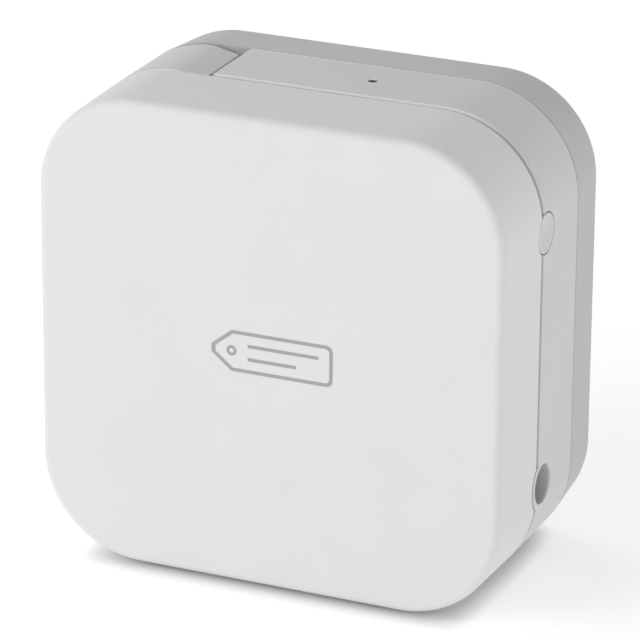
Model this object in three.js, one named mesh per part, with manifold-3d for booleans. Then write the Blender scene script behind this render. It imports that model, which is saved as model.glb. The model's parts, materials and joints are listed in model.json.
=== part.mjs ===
// A cube-shaped label maker: a two-part white case with a removable back cover, a cutter lever in
// its top left corner, and inside it the chassis, drive train, print head, tape cassette and cells.
// Millimetres. X points right, Y to the back, Z up, and the rubber feet stand on Z = 0.
import * as THREE from "three";
import { mergeVertices } from "three/addons/utils/BufferGeometryUtils.js";
import Module from "manifold-3d";

// ---------------------------------------------------------------- case
const WIDTH = 115;
const DEPTH = 61;
const HEIGHT = 115;
const FOOT_PROUD = 0.7;
const CORNER_RADIUS = 24.7;
const CORNER_STEPS = 6;
const WALL = 2.2;
const EDGE_FILLET = 2;
const FILLET_STEPS = 3;
const FRONT_DRAFT = 0.36;
const BACK_TAPER = 1.1;
const SEAM_Y = -7.2;
const SEAM_GAP = 0.8;
const COVER_JOINT_Y = 14.35;
const COVER_GAP = 0.25;
const TONGUE_GAP = 0.3;
const TONGUE_THICKNESS = 1.2;
const FRONT_TONGUE = { from: -9.5, root: -4.5 };
const BACK_TONGUE = { root: 11.5, to: 16.5 };
const FRONT_FLOOR = 2.4;
const CAVITY_CHAMFER = 1.2;

const HALF_WIDTH = WIDTH / 2;
const BODY_BOTTOM = FOOT_PROUD;
const HALF_BODY = (HEIGHT - BODY_BOTTOM) / 2;
const MID_Z = BODY_BOTTOM + HALF_BODY;
const FRONT_Y = -DEPTH / 2;
const BACK_Y = DEPTH / 2;
const FRONT_CASE_END = SEAM_Y - SEAM_GAP / 2;
const MID_CASE_START = SEAM_Y + SEAM_GAP / 2;
const MID_CASE_END = COVER_JOINT_Y - COVER_GAP / 2;
const COVER_START = COVER_JOINT_Y + COVER_GAP / 2;
const TONGUE_OUTSIDE = WALL + TONGUE_GAP;
const TONGUE_INSIDE = TONGUE_OUTSIDE + TONGUE_THICKNESS;
const CORNER_X = HALF_WIDTH - CORNER_RADIUS;
const CORNER_TOP = HEIGHT - CORNER_RADIUS;

// ---------------------------------------------------------------- what shows on the case
const LED_HOLE = { x: 11, y: 3.8, radius: 1.1 };
const BUTTON = { y: -5.5, z: 88.4, radius: 4.75, gap: 0.3, dish: 0.55 };
const JACK = { y: -3.6, z: 26.7, bore: 4.7, collar: 6.4, gap: 0.5, inside: 52.6 };
const THUMB_SCOOP = { radius: 9, depth: 1.1, halfWidth: 9, z: 99 };
const FOOT = { radius: 4, thickness: 1.5, gap: 0.3, x: 26, frontY: -22.5, backY: 8 };
const SIDE_HOLES = [48, 60];
const COVER_RIBS = { x: [-6, 16, 38], half: 0.8, front: 13.4, bottom: 58, top: 98 };
const SCREWS = [[24, 108.6], [-50.6, 65], [37, 15], [-37, 15]];
const SCREW = { shank: 1.2, head: 2.2, headHeight: 1.6, post: 2.5, front: -20, clear: 0.3 };
const SCREW_SEAT = -2.8;
const LUGS = [
  [[20.5, 27.5], [105.4, 114]],
  [[-57, -47.6], [61.5, 68.5]],
  [[33.5, 40.5], [1.5, 18.5]],
  [[-40.5, -33.5], [1.5, 18.5]],
];
const LUG_INSET = 1;
const BOARD_POST = { radius: 1.8, inset: 4 };

// ---------------------------------------------------------------- cutter lever
const LEVER = { endX: -26.3, bottom: 88.9, front: -7.2, back: 13.5, thickness: 1.9, gap: 0.35 };
const LEVER_FLUSH_X = -34;
const LEVER_END = { sunk: 1.3, roll: 0.4, thickness: 1.6 };
const LEVER_PIVOT = { x: -48, z: 76.7 };
const LEVER_REACH = -20.4;
const LEVER_WEBS = [[-4.2, -2.4], [10.9, 12.7]];
const LEVER_BOSS = { radius: 3, bore: 1.5 };
const WINDOW = { right: -24.1, bottom: 88.4, back: 13.8 };
const CARRIER = { x: [-39.5, -31], y: [-3.4, 10.4], z: [104.6, 107.7] };
const CARRIER_POCKET = { x: [-37.5, -33], y: [-0.5, 7.5], z: [104, 106.5] };
const MOVING_BLADE = [[-38, 107.7], [-26.2, 107.7], [-27.2, 108.4], [-38, 108.4]];
const FIXED_BLADE = [[-24.3, 107.4], [-23.8, 105.4], [-23.2, 105.4], [-23.2, 107.4]];

// ---------------------------------------------------------------- chassis, boards
const CHASSIS = { front: -6.6, back: -4.8 };
const PIN = { lever: 1.4, holder: 1.2 };
const BRACKET = { front: -18.4, back: -17 };
const BRACKET_LEGS = [[-12, 62], [-44, 79], [-24, 45], [-34, 95.5]];
const BRACKET_OUTLINE = [[-46.5, 81], [-36.5, 98], [-31, 98], [-9.5, 82], [-9.5, 60], [-22, 42.5],
  [-27, 42.5], [-46.5, 75]];
const SHELF = { bottom: 105.4, top: 107.4 };
const BLADE_SHELF = { x: [-23.2, -13], back: 11.2 };
const LED_SHELF = { x: [6, 16], bottom: 106.2, back: -2 };
const CARRIER_RAIL = { x: [-40, -27], back: -3.7, z: [103.3, 104.4] };
const BUTTON_ROOM = { x: [43, 60], z: [81, 96] };
const JACK_ROOM = { x: [42.6, 60], z: [19.9, 33.5] };
const MAIN_BOARD = { left: -38, right: 36, bottom: 22, top: 96, front: -25.5, back: -23.9 };
const SIDE_BOARD = { left: 40, right: 52, bottom: 18, top: 96, front: -9.9, back: -8.3 };
const SOLDER = 0.3;
const CHIPS = [
  { x: [2, 16], z: [56, 70], height: 1.5 },
  { x: [20, 32], z: [76, 90], height: 2.2 },
  { x: [-34, -22], z: [27, 33], height: 3.5 },
  { x: [22, 32], z: [40, 47], height: 8 },
];
const CAPACITORS = [
  { x: 8, z: 32, radius: 3.2, height: 9 },
  { x: 16, z: 32, radius: 3.2, height: 9 },
  { x: 10, z: 84, radius: 2.2, height: 5 },
];
const MOTOR = { radius: 10, back: 19, bearing: 3.5, bearingBack: 21 };

// ---------------------------------------------------------------- tape path and rollers
const TAPE = { x: -24.75, thickness: 0.3, front: -2, back: 10, bottom: 66, top: 106.8 };
const PLATEN = { radius: 4, z: 85, clear: 0.55 };
const FEED = { radius: 3, z: 100.2, clear: 0.35 };
const HOLDER_PIVOT = { x: -35.5, z: 61.5 };
const HOLDER_PLATES = [[-4.3, -2.9], [10.9, 12.3]];
const HOLDER_BACK = { x: [-37.5, -35.8], z: [70, 102.3] };
const HEAD = { x: [-24.25, -23.2], y: [-3, 11.2], z: [80, 90] };
const HEAD_BRACKET = { x: [-23.2, -21.6], back: 12.2, foot: [-21.9, -15], footBack: -3.4, z: [73.5, 92] };

// ---------------------------------------------------------------- gear train, module 0.8
const MODULE = 0.8;
const TEETH = { platen: 18, idler: 18, drive: 20, takeUp: 21, aSmall: 12, aLarge: 34, bSmall: 11,
  bLarge: 36, pinion: 10 };
const PLANES = [[-10.4, -8], [-13.4, -11], [-16.4, -14]];
const GEAR_PIN = 0.95;
const GEAR_BORE = 1.1;

// ---------------------------------------------------------------- cassette and cells
const CASSETTE = { front: -4.5, split: 4, back: 12.9, wall: 1, joint: 0.1, hub: 9.6 };
const CASSETTE_BODY = { x: [-11.5, 43], z: [52, 105] };
const CASSETTE_ARMS = { x: [-23.6, -5], upper: [94, 105], lower: [60, 70] };
const CELL = { radius: 5.2, length: 44, pitch: 11.2, firstZ: 15.5, frontY: 10.6, x: 0.7 };
const TRAY = { left: -28, right: 30, bottom: 8.6, top: 44.8, floor: 5, back: 27.2, wall: 1.2 };

const wasm = await Module();
wasm.setup();

// ---------------------------------------------------------------- solids
// A closed three.js geometry as a solid that can be joined and cut.
function solid(geometry) {
  const bare = geometry.clone();
  bare.deleteAttribute("normal");
  bare.deleteAttribute("uv");
  const merged = mergeVertices(bare, 1e-4);
  const mesh = new wasm.Mesh({
    numProp: 3,
    vertProperties: merged.attributes.position.array,
    triVerts: new Uint32Array(merged.index.array),
  });
  return new wasm.Manifold(mesh);
}

function join(...pieces) {
  return pieces.reduce((all, piece) => all.add(piece));
}

function cut(body, ...pieces) {
  return pieces.reduce((left, piece) => left.subtract(piece), body);
}

function box([x0, x1], [y0, y1], [z0, z1]) {
  const geometry = new THREE.BoxGeometry(x1 - x0, y1 - y0, z1 - z0);
  geometry.translate((x0 + x1) / 2, (y0 + y1) / 2, (z0 + z1) / 2);
  return solid(geometry);
}

function rodY(x, z, radius, y0, y1, sides = 24) {
  const geometry = new THREE.CylinderGeometry(radius, radius, y1 - y0, sides);
  geometry.translate(x, (y0 + y1) / 2, z);
  return solid(geometry);
}

function rodX(y, z, radius, x0, x1, sides = 32) {
  const geometry = new THREE.CylinderGeometry(radius, radius, x1 - x0, sides);
  geometry.rotateZ(Math.PI / 2);
  geometry.translate((x0 + x1) / 2, y, z);
  return solid(geometry);
}

function rodZ(x, y, radius, z0, z1, sides = 24) {
  const geometry = new THREE.CylinderGeometry(radius, radius, z1 - z0, sides);
  geometry.rotateX(Math.PI / 2);
  geometry.translate(x, y, (z0 + z1) / 2);
  return solid(geometry);
}

// An outline drawn in X and Z, extruded along Y.
function prism(shape, y0, y1, curveSegments = CORNER_STEPS) {
  const geometry = new THREE.ExtrudeGeometry(shape, { depth: y1 - y0, bevelEnabled: false, curveSegments });
  geometry.rotateX(Math.PI / 2);
  geometry.translate(0, y1, 0);
  return solid(geometry);
}

function polygon(points) {
  return new THREE.Shape(points.map(([x, z]) => new THREE.Vector2(x, z)));
}

// The case's rounded-square outline in X and Z, moved inwards by inset.
function outlinePoints(inset) {
  const radius = CORNER_RADIUS - inset;
  const up = HALF_BODY - CORNER_RADIUS;
  const corners = [[1, -1, -90], [1, 1, 0], [-1, 1, 90], [-1, -1, 180]];
  return corners.flatMap(([sx, sz, start]) =>
    Array.from({ length: CORNER_STEPS + 1 }, (_, i) => {
      const angle = THREE.MathUtils.degToRad(start + (90 * i) / CORNER_STEPS);
      return [sx * CORNER_X + radius * Math.cos(angle), MID_Z + sz * up + radius * Math.sin(angle)];
    }),
  );
}

function outline(inset, y0, y1) {
  return prism(polygon(outlinePoints(inset)), y0, y1);
}

// A solid through outlines at several depths, given as [y, inset] from front to back.
function loft(stations) {
  const rings = stations.map(([y, inset]) => outlinePoints(inset).map(([x, z]) => [x, y, z]));
  const count = rings[0].length;
  const points = rings.flat();
  const frontCentre = points.length;
  const backCentre = frontCentre + 1;
  points.push([0, stations[0][0], MID_Z], [0, stations.at(-1)[0], MID_Z]);
  const last = (rings.length - 1) * count;
  const faces = [];
  for (let j = 0; j < count; j++) {
    const next = (j + 1) % count;
    faces.push(frontCentre, j, next);
    faces.push(backCentre, last + next, last + j);
    for (let i = 0; i < rings.length - 1; i++) {
      const near = i * count;
      const far = near + count;
      faces.push(near + j, far + j, near + next);
      faces.push(near + next, far + j, far + next);
    }
  }
  const geometry = new THREE.BufferGeometry();
  geometry.setAttribute("position", new THREE.Float32BufferAttribute(points.flat(), 3));
  geometry.setIndex(faces);
  return solid(geometry);
}

// The rounded edge between a flat end face and the sides, as [y, inset] pairs from the face inwards.
function filletStations(faceY, towards, inset, radius) {
  return Array.from({ length: FILLET_STEPS + 1 }, (_, i) => {
    const angle = (Math.PI / 2) * (i / FILLET_STEPS);
    return [faceY + towards * radius * (1 - Math.cos(angle)), inset + radius * (1 - Math.sin(angle))];
  });
}

function ringWall(outside, inside, y0, y1) {
  return outline(outside, y0, y1).subtract(outline(inside, y0 - 1, y1 + 1));
}

// A trapezoid-toothed gear about the Y axis; tooth 0 points at the phase angle in the XZ plane.
function gear(teeth, phase, [y0, y1], bore) {
  const tip = MODULE * (teeth / 2 + 0.85);
  const root = MODULE * (teeth / 2 - 1.15);
  const tipHalf = (0.25 * MODULE) / tip;
  const rootHalf = (0.92 * MODULE) / root;
  const points = [];
  for (let i = 0; i < teeth; i++) {
    const centre = phase + (2 * Math.PI * i) / teeth;
    const corners = [[root, -rootHalf], [tip, -tipHalf], [tip, tipHalf], [root, rootHalf]];
    for (const [r, turn] of corners) {
      points.push([r * Math.cos(centre + turn), r * Math.sin(centre + turn)]);
    }
  }
  const shape = polygon(points);
  if (bore) {
    shape.holes.push(new THREE.Path().absarc(0, 0, bore, 0, 2 * Math.PI, true));
  }
  return prism(shape, y0, y1, 10);
}

// A coil about the Y axis with two straight legs, swept as one wire.
function torsionCoil(radius, wire, y0, y1, turns, legs) {
  const points = [new THREE.Vector3(legs[0][0], y0, legs[0][1])];
  const perTurn = 8;
  const steps = turns * perTurn;
  for (let i = 0; i <= steps; i++) {
    const angle = legs[2] + (2 * Math.PI * i) / perTurn;
    const y = y0 + ((y1 - y0) * i) / steps;
    points.push(new THREE.Vector3(radius * Math.cos(angle), y, radius * Math.sin(angle)));
  }
  points.push(new THREE.Vector3(legs[1][0], y1, legs[1][1]));
  const extrudePath = new THREE.CatmullRomCurve3(points, false, "centripetal");
  const section = new THREE.Shape().absarc(0, 0, wire / 2, 0, 2 * Math.PI);
  const options = { steps: steps + 4, curveSegments: 3, bevelEnabled: false, extrudePath };
  return solid(new THREE.ExtrudeGeometry(section, options));
}

// ---------------------------------------------------------------- gear positions
function step(from, distance, degrees) {
  const angle = THREE.MathUtils.degToRad(degrees);
  return { x: from.x + distance * Math.cos(angle), z: from.z + distance * Math.sin(angle) };
}

function spacing(teethA, teethB) {
  return (MODULE * (teethA + teethB)) / 2;
}

// The point below the line from one centre to another, at the same distance from both.
function thirdCorner(one, other, distance) {
  const dx = other.x - one.x;
  const dz = other.z - one.z;
  const apart = Math.hypot(dx, dz);
  const drop = Math.sqrt(distance ** 2 - (apart / 2) ** 2);
  return {
    x: (one.x + other.x) / 2 + (drop * dz) / apart,
    z: (one.z + other.z) / 2 - (drop * dx) / apart,
  };
}

// The phase that puts a gap of the second gear opposite a tooth of the first.
function meshPhase(from, teethFrom, phaseFrom, to, teethTo) {
  const line = Math.atan2(to.z - from.z, to.x - from.x);
  return line + Math.PI - (Math.PI - teethFrom * (line - phaseFrom)) / teethTo;
}

const driveRadius = (PLATEN.radius * TEETH.drive) / TEETH.idler;
const at = {};
at.platen = { x: TAPE.x - PLATEN.clear - PLATEN.radius, z: PLATEN.z };
at.feed = { x: TAPE.x - FEED.clear - FEED.radius, z: FEED.z };
at.drive = { x: TAPE.x + FEED.clear + driveRadius, z: FEED.z };
at.idler = step(at.drive, spacing(TEETH.drive, TEETH.idler), -60);
at.takeUp = step(at.idler, spacing(TEETH.idler, TEETH.takeUp), -50);
at.a = thirdCorner(at.platen, at.idler, spacing(TEETH.platen, TEETH.aSmall));
at.b = step(at.a, spacing(TEETH.aLarge, TEETH.bSmall), -130);
at.motor = step(at.b, spacing(TEETH.bLarge, TEETH.pinion), -120);
at.supply = { x: at.takeUp.x, z: 96 };
at.tapeRoll = { x: 22, z: 74 };

const phase = { idler: 0 };
phase.drive = meshPhase(at.idler, TEETH.idler, phase.idler, at.drive, TEETH.drive);
phase.takeUp = meshPhase(at.idler, TEETH.idler, phase.idler, at.takeUp, TEETH.takeUp);
phase.aSmall = meshPhase(at.idler, TEETH.idler, phase.idler, at.a, TEETH.aSmall);
phase.platen = meshPhase(at.a, TEETH.aSmall, phase.aSmall, at.platen, TEETH.platen);
phase.aLarge = phase.aSmall;
phase.bSmall = meshPhase(at.a, TEETH.aLarge, phase.aLarge, at.b, TEETH.bSmall);
phase.bLarge = phase.bSmall;
phase.pinion = meshPhase(at.b, TEETH.bLarge, phase.bLarge, at.motor, TEETH.pinion);

// ---------------------------------------------------------------- materials
function plastic(color, roughness = 0.55) {
  return new THREE.MeshStandardMaterial({ color, roughness, metalness: 0 });
}

function metal(color, roughness = 0.35) {
  return new THREE.MeshStandardMaterial({ color, roughness, metalness: 1 });
}

const WHITE = plastic(0xe6e6e5);
const PALE_GREY = plastic(0xc9c9c8);
const DARK_GREY = plastic(0x4a4b4d);
const GEAR_WHITE = plastic(0xdedacb, 0.4);
const BLACK = plastic(0x1d1d1e, 0.6);
const BOARD_GREEN = plastic(0x1f5a38, 0.5);
const RUBBER = plastic(0x2b2b2c, 0.9);
const PAPER = plastic(0xf4f4f0, 0.7);
const CELL_SLEEVE = plastic(0x3c5f86, 0.35);
const CLEAR = plastic(0x9fc4e8, 0.2);
const STEEL = metal(0xa8abae);
const BRASS = metal(0xb59a5a);
const ALUMINIUM = metal(0xbfc2c4, 0.45);

const labelMaker = new THREE.Group();

function addTo(group, name, body, material, place = { x: 0, y: 0, z: 0 }) {
  const made = body.getMesh();
  const geometry = new THREE.BufferGeometry();
  geometry.setAttribute("position", new THREE.BufferAttribute(made.vertProperties, 3));
  geometry.setIndex(new THREE.BufferAttribute(made.triVerts, 1));
  geometry.computeVertexNormals();
  const mesh = new THREE.Mesh(geometry, material);
  mesh.name = name;
  mesh.position.set(place.x, place.y ?? 0, place.z);
  group.add(mesh);
}

function newGroup() {
  const group = new THREE.Group();
  labelMaker.add(group);
  return group;
}

// ---------------------------------------------------------------- case
function footRecess(x, y) {
  return rodZ(x, y, FOOT.radius + FOOT.gap, -1, FOOT.thickness + FOOT.gap);
}

function frontCase() {
  const cavityFront = FRONT_Y + FRONT_FLOOR;
  const outside = loft([
    ...filletStations(FRONT_Y, 1, FRONT_DRAFT, EDGE_FILLET),
    [FRONT_CASE_END, 0],
  ]);
  const inside = loft([
    [cavityFront, FRONT_DRAFT + WALL + CAVITY_CHAMFER],
    [cavityFront + CAVITY_CHAMFER, FRONT_DRAFT + WALL],
    [FRONT_CASE_END + 1, WALL],
  ]);
  let body = outside.subtract(inside);
  for (const [x, z] of SCREWS) {
    body = body.add(rodY(x, z, SCREW.post, cavityFront - 0.5, CHASSIS.front, 16));
    body = body.subtract(rodY(x, z, SCREW.shank + 0.1, SCREW.front - 2, CHASSIS.front + 1, 12));
  }
  for (const x of [MAIN_BOARD.left + BOARD_POST.inset, MAIN_BOARD.right - BOARD_POST.inset]) {
    for (const z of [MAIN_BOARD.bottom + BOARD_POST.inset, MAIN_BOARD.top - BOARD_POST.inset]) {
      body = body.add(rodY(x, z, BOARD_POST.radius, cavityFront - 0.5, MAIN_BOARD.front, 12));
    }
  }
  return cut(
    body,
    rodX(BUTTON.y, BUTTON.z, BUTTON.radius + BUTTON.gap, ...SIDE_HOLES),
    rodX(JACK.y, JACK.z, JACK.collar + JACK.gap, ...SIDE_HOLES),
    footRecess(FOOT.x, FOOT.frontY),
    footRecess(-FOOT.x, FOOT.frontY),
  );
}

function midCase() {
  const wall = ringWall(0, WALL, MID_CASE_START, MID_CASE_END);
  const frontTongue = join(
    ringWall(TONGUE_OUTSIDE, TONGUE_INSIDE, FRONT_TONGUE.from, FRONT_TONGUE.root),
    ringWall(WALL - 0.2, TONGUE_INSIDE, MID_CASE_START, FRONT_TONGUE.root),
  );
  const backTongue = join(
    ringWall(TONGUE_OUTSIDE, TONGUE_INSIDE, BACK_TONGUE.root, BACK_TONGUE.to),
    ringWall(WALL - 0.2, TONGUE_INSIDE, BACK_TONGUE.root, MID_CASE_END),
  );
  const lugDepth = [CHASSIS.back + 0.1, SCREW_SEAT];
  const lugs = LUGS.map(([x, z]) => box(x, lugDepth, z).intersect(outline(LUG_INSET, ...lugDepth)));
  const collar = rodX(JACK.y, JACK.z, JACK.collar, JACK.inside, 60).intersect(outline(0, -12, 6));
  const windowDepth = [LEVER.front - LEVER.gap, WINDOW.back];
  const windowX = [-HALF_WIDTH - 1, WINDOW.right];
  const windowZ = [WINDOW.bottom, HEIGHT + 1];
  const window = box(windowX, windowDepth, windowZ);
  const leverRoom = box([WINDOW.right - 1, LEVER_REACH], windowDepth, [WINDOW.bottom, HEIGHT - WALL]);
  const windowSkin = box(windowX, [MID_CASE_START, COVER_START + 1], windowZ)
    .subtract(outline(WALL + 0.1, MID_CASE_START - 1, COVER_START + 2));
  const body = cut(join(wall, frontTongue, backTongue, ...lugs, collar), window, windowSkin, leverRoom);
  const screwHoles = SCREWS.map(([x, z]) =>
    rodY(x, z, SCREW.shank + SCREW.clear, CHASSIS.back - 1, SCREW_SEAT + 1, 12));
  return cut(
    body,
    ...screwHoles,
    rodX(JACK.y, JACK.z, JACK.bore, JACK.inside - 1, 60),
    rodX(BUTTON.y, BUTTON.z, BUTTON.radius + BUTTON.gap, 52, 60),
    rodX(BUTTON.y, BUTTON.z, BUTTON.radius + 1.4, 52, HALF_WIDTH - WALL),
    rodZ(LED_HOLE.x, LED_HOLE.y, LED_HOLE.radius, 112, 116, 16),
    footRecess(FOOT.x, FOOT.backY),
    footRecess(-FOOT.x, FOOT.backY),
  );
}

function backCover() {
  const cavityBack = BACK_Y - WALL;
  const outside = loft([
    [COVER_START, 0],
    ...filletStations(BACK_Y, -1, BACK_TAPER, EDGE_FILLET).reverse(),
  ]);
  const inside = loft([
    [COVER_START - 1, WALL],
    [BACK_TONGUE.to + 0.5, WALL],
    [cavityBack - CAVITY_CHAMFER, BACK_TAPER + WALL],
    [cavityBack, BACK_TAPER + WALL + CAVITY_CHAMFER],
  ]);
  const ribs = COVER_RIBS.x.map((x) =>
    box(
      [x - COVER_RIBS.half, x + COVER_RIBS.half],
      [COVER_RIBS.front, cavityBack + 0.5],
      [COVER_RIBS.bottom, COVER_RIBS.top],
    ));
  const { radius, depth, halfWidth, z } = THUMB_SCOOP;
  const scoop = rodX(BACK_Y + radius - depth, z, radius, -halfWidth, halfWidth);
  return cut(join(outside.subtract(inside), ...ribs), scoop);
}

function foot() {
  return rodZ(0, 0, FOOT.radius, 0, FOOT.thickness);
}

function caseScrew() {
  const head = rodY(0, 0, SCREW.head, SCREW_SEAT, SCREW_SEAT + SCREW.headHeight, 16);
  const slot = box([-0.4, 0.4], [-1.9, 0], [-1.6, 1.6]);
  return cut(join(head, rodY(0, 0, SCREW.shank, SCREW.front, SCREW_SEAT + 0.3, 10)), slot);
}

function powerButton() {
  const surface = HALF_WIDTH;
  const cap = rodX(BUTTON.y, BUTTON.z, BUTTON.radius, surface - 3.6, surface);
  const flange = rodX(BUTTON.y, BUTTON.z, BUTTON.radius + 0.9, surface - 3.8, surface - 2.8);
  const stem = rodX(BUTTON.y, BUTTON.z, 2, surface - 6.6, surface - 3.6, 16);
  const dishRadius = (BUTTON.radius ** 2 / BUTTON.dish + BUTTON.dish) / 2;
  const dish = new THREE.SphereGeometry(dishRadius, 32, 32);
  dish.translate(surface + dishRadius - BUTTON.dish, BUTTON.y, BUTTON.z);
  return join(cap, flange, stem).subtract(solid(dish));
}

const caseGroup = newGroup();
addTo(caseGroup, "front_case", frontCase(), WHITE);
addTo(caseGroup, "mid_case", midCase(), WHITE);
addTo(caseGroup, "back_cover", backCover(), PALE_GREY);
addTo(caseGroup, "power_button", powerButton(), WHITE);
const footPlaces = [[-1, FOOT.frontY], [1, FOOT.frontY], [-1, FOOT.backY], [1, FOOT.backY]];
footPlaces.forEach(([side, y], i) => {
  addTo(caseGroup, `rubber_foot_${i + 1}`, foot(), RUBBER, { x: side * FOOT.x, y, z: 0 });
});
SCREWS.forEach(([x, z], i) => {
  addTo(caseGroup, `case_screw_${i + 1}`, caseScrew(), STEEL, { x, z });
});

// ---------------------------------------------------------------- cutter lever and blades
// The lever's own skin follows the rounded corner, then sinks towards its free end.
function leverOutline() {
  const outer = CORNER_RADIUS;
  const inner = CORNER_RADIUS - LEVER.thickness;
  const { sunk, roll, thickness } = LEVER_END;
  const endTop = HEIGHT - sunk;
  const endUnder = endTop - thickness;
  const rollX = LEVER.endX - roll;
  const flushAngle = Math.acos((LEVER_FLUSH_X + CORNER_X) / outer);
  const innerFlush = Math.acos((LEVER_FLUSH_X + CORNER_X) / inner);
  const underZ = CORNER_TOP + inner * Math.sin(innerFlush);
  const shape = new THREE.Shape();
  shape.moveTo(-HALF_WIDTH, LEVER.bottom);
  shape.absarc(-CORNER_X, CORNER_TOP, outer, Math.PI, flushAngle, true);
  shape.bezierCurveTo(-31.5, HEIGHT, -29.5, endTop + 0.3, rollX, endTop);
  shape.absarc(rollX, endTop - roll, roll, Math.PI / 2, 0, true);
  shape.lineTo(LEVER.endX, endUnder);
  shape.bezierCurveTo(-29, endUnder + 0.2, -31.5, underZ, LEVER_FLUSH_X, underZ);
  shape.absarc(-CORNER_X, CORNER_TOP, inner, innerFlush, Math.PI, false);
  shape.lineTo(-HALF_WIDTH + LEVER.thickness, LEVER.bottom);
  return shape;
}

function cutterLever() {
  const skin = prism(leverOutline(), LEVER.front, LEVER.back, 12);
  const { x, z } = LEVER_PIVOT;
  const webShape = polygon([[x - 3, z], [-52.6, 88.2], [-58, 90.5], [-58, 118], [-44.5, 118],
    [-44.5, 100], [x + 3, z]]);
  const webs = LEVER_WEBS.map(([y0, y1]) =>
    prism(webShape, y0, y1).intersect(outline(1, y0, y1)));
  const boss = rodY(x, z, LEVER_BOSS.radius, LEVER_WEBS[0][0], LEVER_WEBS[1][1]);
  return cut(join(skin, ...webs, boss), rodY(x, z, LEVER_BOSS.bore, LEVER.front, WINDOW.back));
}

function bladeCarrier() {
  const pocket = box(CARRIER_POCKET.x, CARRIER_POCKET.y, CARRIER_POCKET.z);
  return cut(box(CARRIER.x, CARRIER.y, CARRIER.z), pocket);
}

function movingBlade() {
  return prism(polygon(MOVING_BLADE), -3, 11);
}

function fixedBlade() {
  return prism(polygon(FIXED_BLADE), -3.2, 11);
}

const cutterGroup = newGroup();
addTo(cutterGroup, "cutter_lever", cutterLever(), WHITE);
addTo(cutterGroup, "lever_pin", rodY(0, 0, PIN.lever, CHASSIS.front, 13.4), STEEL, LEVER_PIVOT);
const leverSpring = torsionCoil(3.8, 0.7, -1.2, 4.2, 3, [[-4.6, -7], [-5.8, 11], Math.PI]);
addTo(cutterGroup, "lever_spring", leverSpring, STEEL, LEVER_PIVOT);
addTo(cutterGroup, "blade_carrier", bladeCarrier(), DARK_GREY);
addTo(cutterGroup, "moving_blade", movingBlade(), STEEL);
addTo(cutterGroup, "fixed_blade", fixedBlade(), STEEL);

// ---------------------------------------------------------------- chassis and boards
function chassis() {
  const { front, back } = CHASSIS;
  const through = [front - 1, back + 1];
  const hole = (x, z, radius, sides) => rodY(x, z, radius, ...through, sides);
  const cornerSweep = box([-60, LEVER_REACH], through, [86.5, 120]).subtract(outline(7, front - 2, back + 2));
  const plate = cut(
    outline(TONGUE_INSIDE + 0.4, front, back),
    cornerSweep,
    box(BUTTON_ROOM.x, through, BUTTON_ROOM.z),
    box(JACK_ROOM.x, through, JACK_ROOM.z),
    box([at.platen.x - 3.9, at.platen.x + 1.7], through, [PLATEN.z - 1.7, PLATEN.z + 2.2]),
    hole(at.drive.x, at.drive.z, 2.3),
    hole(at.takeUp.x, at.takeUp.z, 2.3),
    hole(at.motor.x, at.motor.z, 2.6),
    hole(LEVER_PIVOT.x, LEVER_PIVOT.z, PIN.lever + 0.05),
    hole(HOLDER_PIVOT.x, HOLDER_PIVOT.z, PIN.holder + 0.05),
    ...SCREWS.map(([x, z]) => hole(x, z, SCREW.shank + SCREW.clear, 12)),
  );
  const idlerPost = rodY(at.idler.x, at.idler.z, GEAR_PIN, PLANES[0][0] - 0.2, front, 16);
  const longPosts = [at.a, at.b].map(({ x, z }) => rodY(x, z, GEAR_PIN, BRACKET.front - 0.4, front, 16));
  const collars = [[at.idler, PLANES[0][1]], [at.a, PLANES[0][1]], [at.b, PLANES[1][1]]].map(
    ([{ x, z }, gearBack]) => rodY(x, z, 1.9, gearBack + 0.3, front, 16));
  const inPlate = back - 0.5;
  const bladeShelf = box(BLADE_SHELF.x, [inPlate, BLADE_SHELF.back], [SHELF.bottom, SHELF.top]);
  const ledShelf = box(LED_SHELF.x, [inPlate, LED_SHELF.back], [LED_SHELF.bottom, SHELF.top]);
  const carrierRail = box(CARRIER_RAIL.x, [inPlate, CARRIER_RAIL.back], CARRIER_RAIL.z);
  return join(plate, idlerPost, ...longPosts, ...collars, bladeShelf, ledShelf, carrierRail);
}

function gearBracket() {
  const plate = prism(polygon(BRACKET_OUTLINE), BRACKET.front, BRACKET.back);
  const legs = BRACKET_LEGS.map(([x, z]) => rodY(x, z, 2, BRACKET.back - 0.5, CHASSIS.front, 16));
  const pinHoles = [at.a, at.b].map(({ x, z }) =>
    rodY(x, z, GEAR_PIN + 0.2, BRACKET.front - 1, BRACKET.back + 1, 16));
  return cut(join(plate, ...legs), ...pinHoles);
}

function mainBoard() {
  const { left, right, bottom, top, front, back } = MAIN_BOARD;
  const chips = CHIPS.map(({ x, z, height }) => box(x, [back - SOLDER, back + height], z));
  const cans = CAPACITORS.map(({ x, z, radius, height }) =>
    rodY(x, z, radius, back - SOLDER, back + height, 16));
  return join(box([left, right], [front, back], [bottom, top]), ...chips, ...cans);
}

function sideBoard() {
  const { left, right, bottom, top, front, back } = SIDE_BOARD;
  return join(
    box([left, right], [front, back], [bottom, top]),
    box([42, 50], [front - 5, front + SOLDER], [44, 52]),
  );
}

function dcJack() {
  const { y, z } = JACK;
  const housing = box([44, JACK.inside - 0.5], [SIDE_BOARD.back, y + 4.5], [z - 4.5, z + 4.5]);
  const barrel = rodX(y, z, 3.1, 46, 60, 24);
  return join(housing.subtract(barrel), rodX(y, z, 1, 45, 51.4, 12));
}

function powerSwitch() {
  return join(
    box([44, 49.2], [SIDE_BOARD.back, -3], [BUTTON.z - 3, BUTTON.z + 3]),
    rodX(BUTTON.y, BUTTON.z, 1.2, 49, 49.8, 12),
  );
}

function ledBoard() {
  const { x, y } = LED_HOLE;
  return join(box([x - 6, x + 6], [-1.9, 9], [106.2, 107.4]), rodZ(x, y, 1.5, 107.2, 108.8, 12));
}

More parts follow.
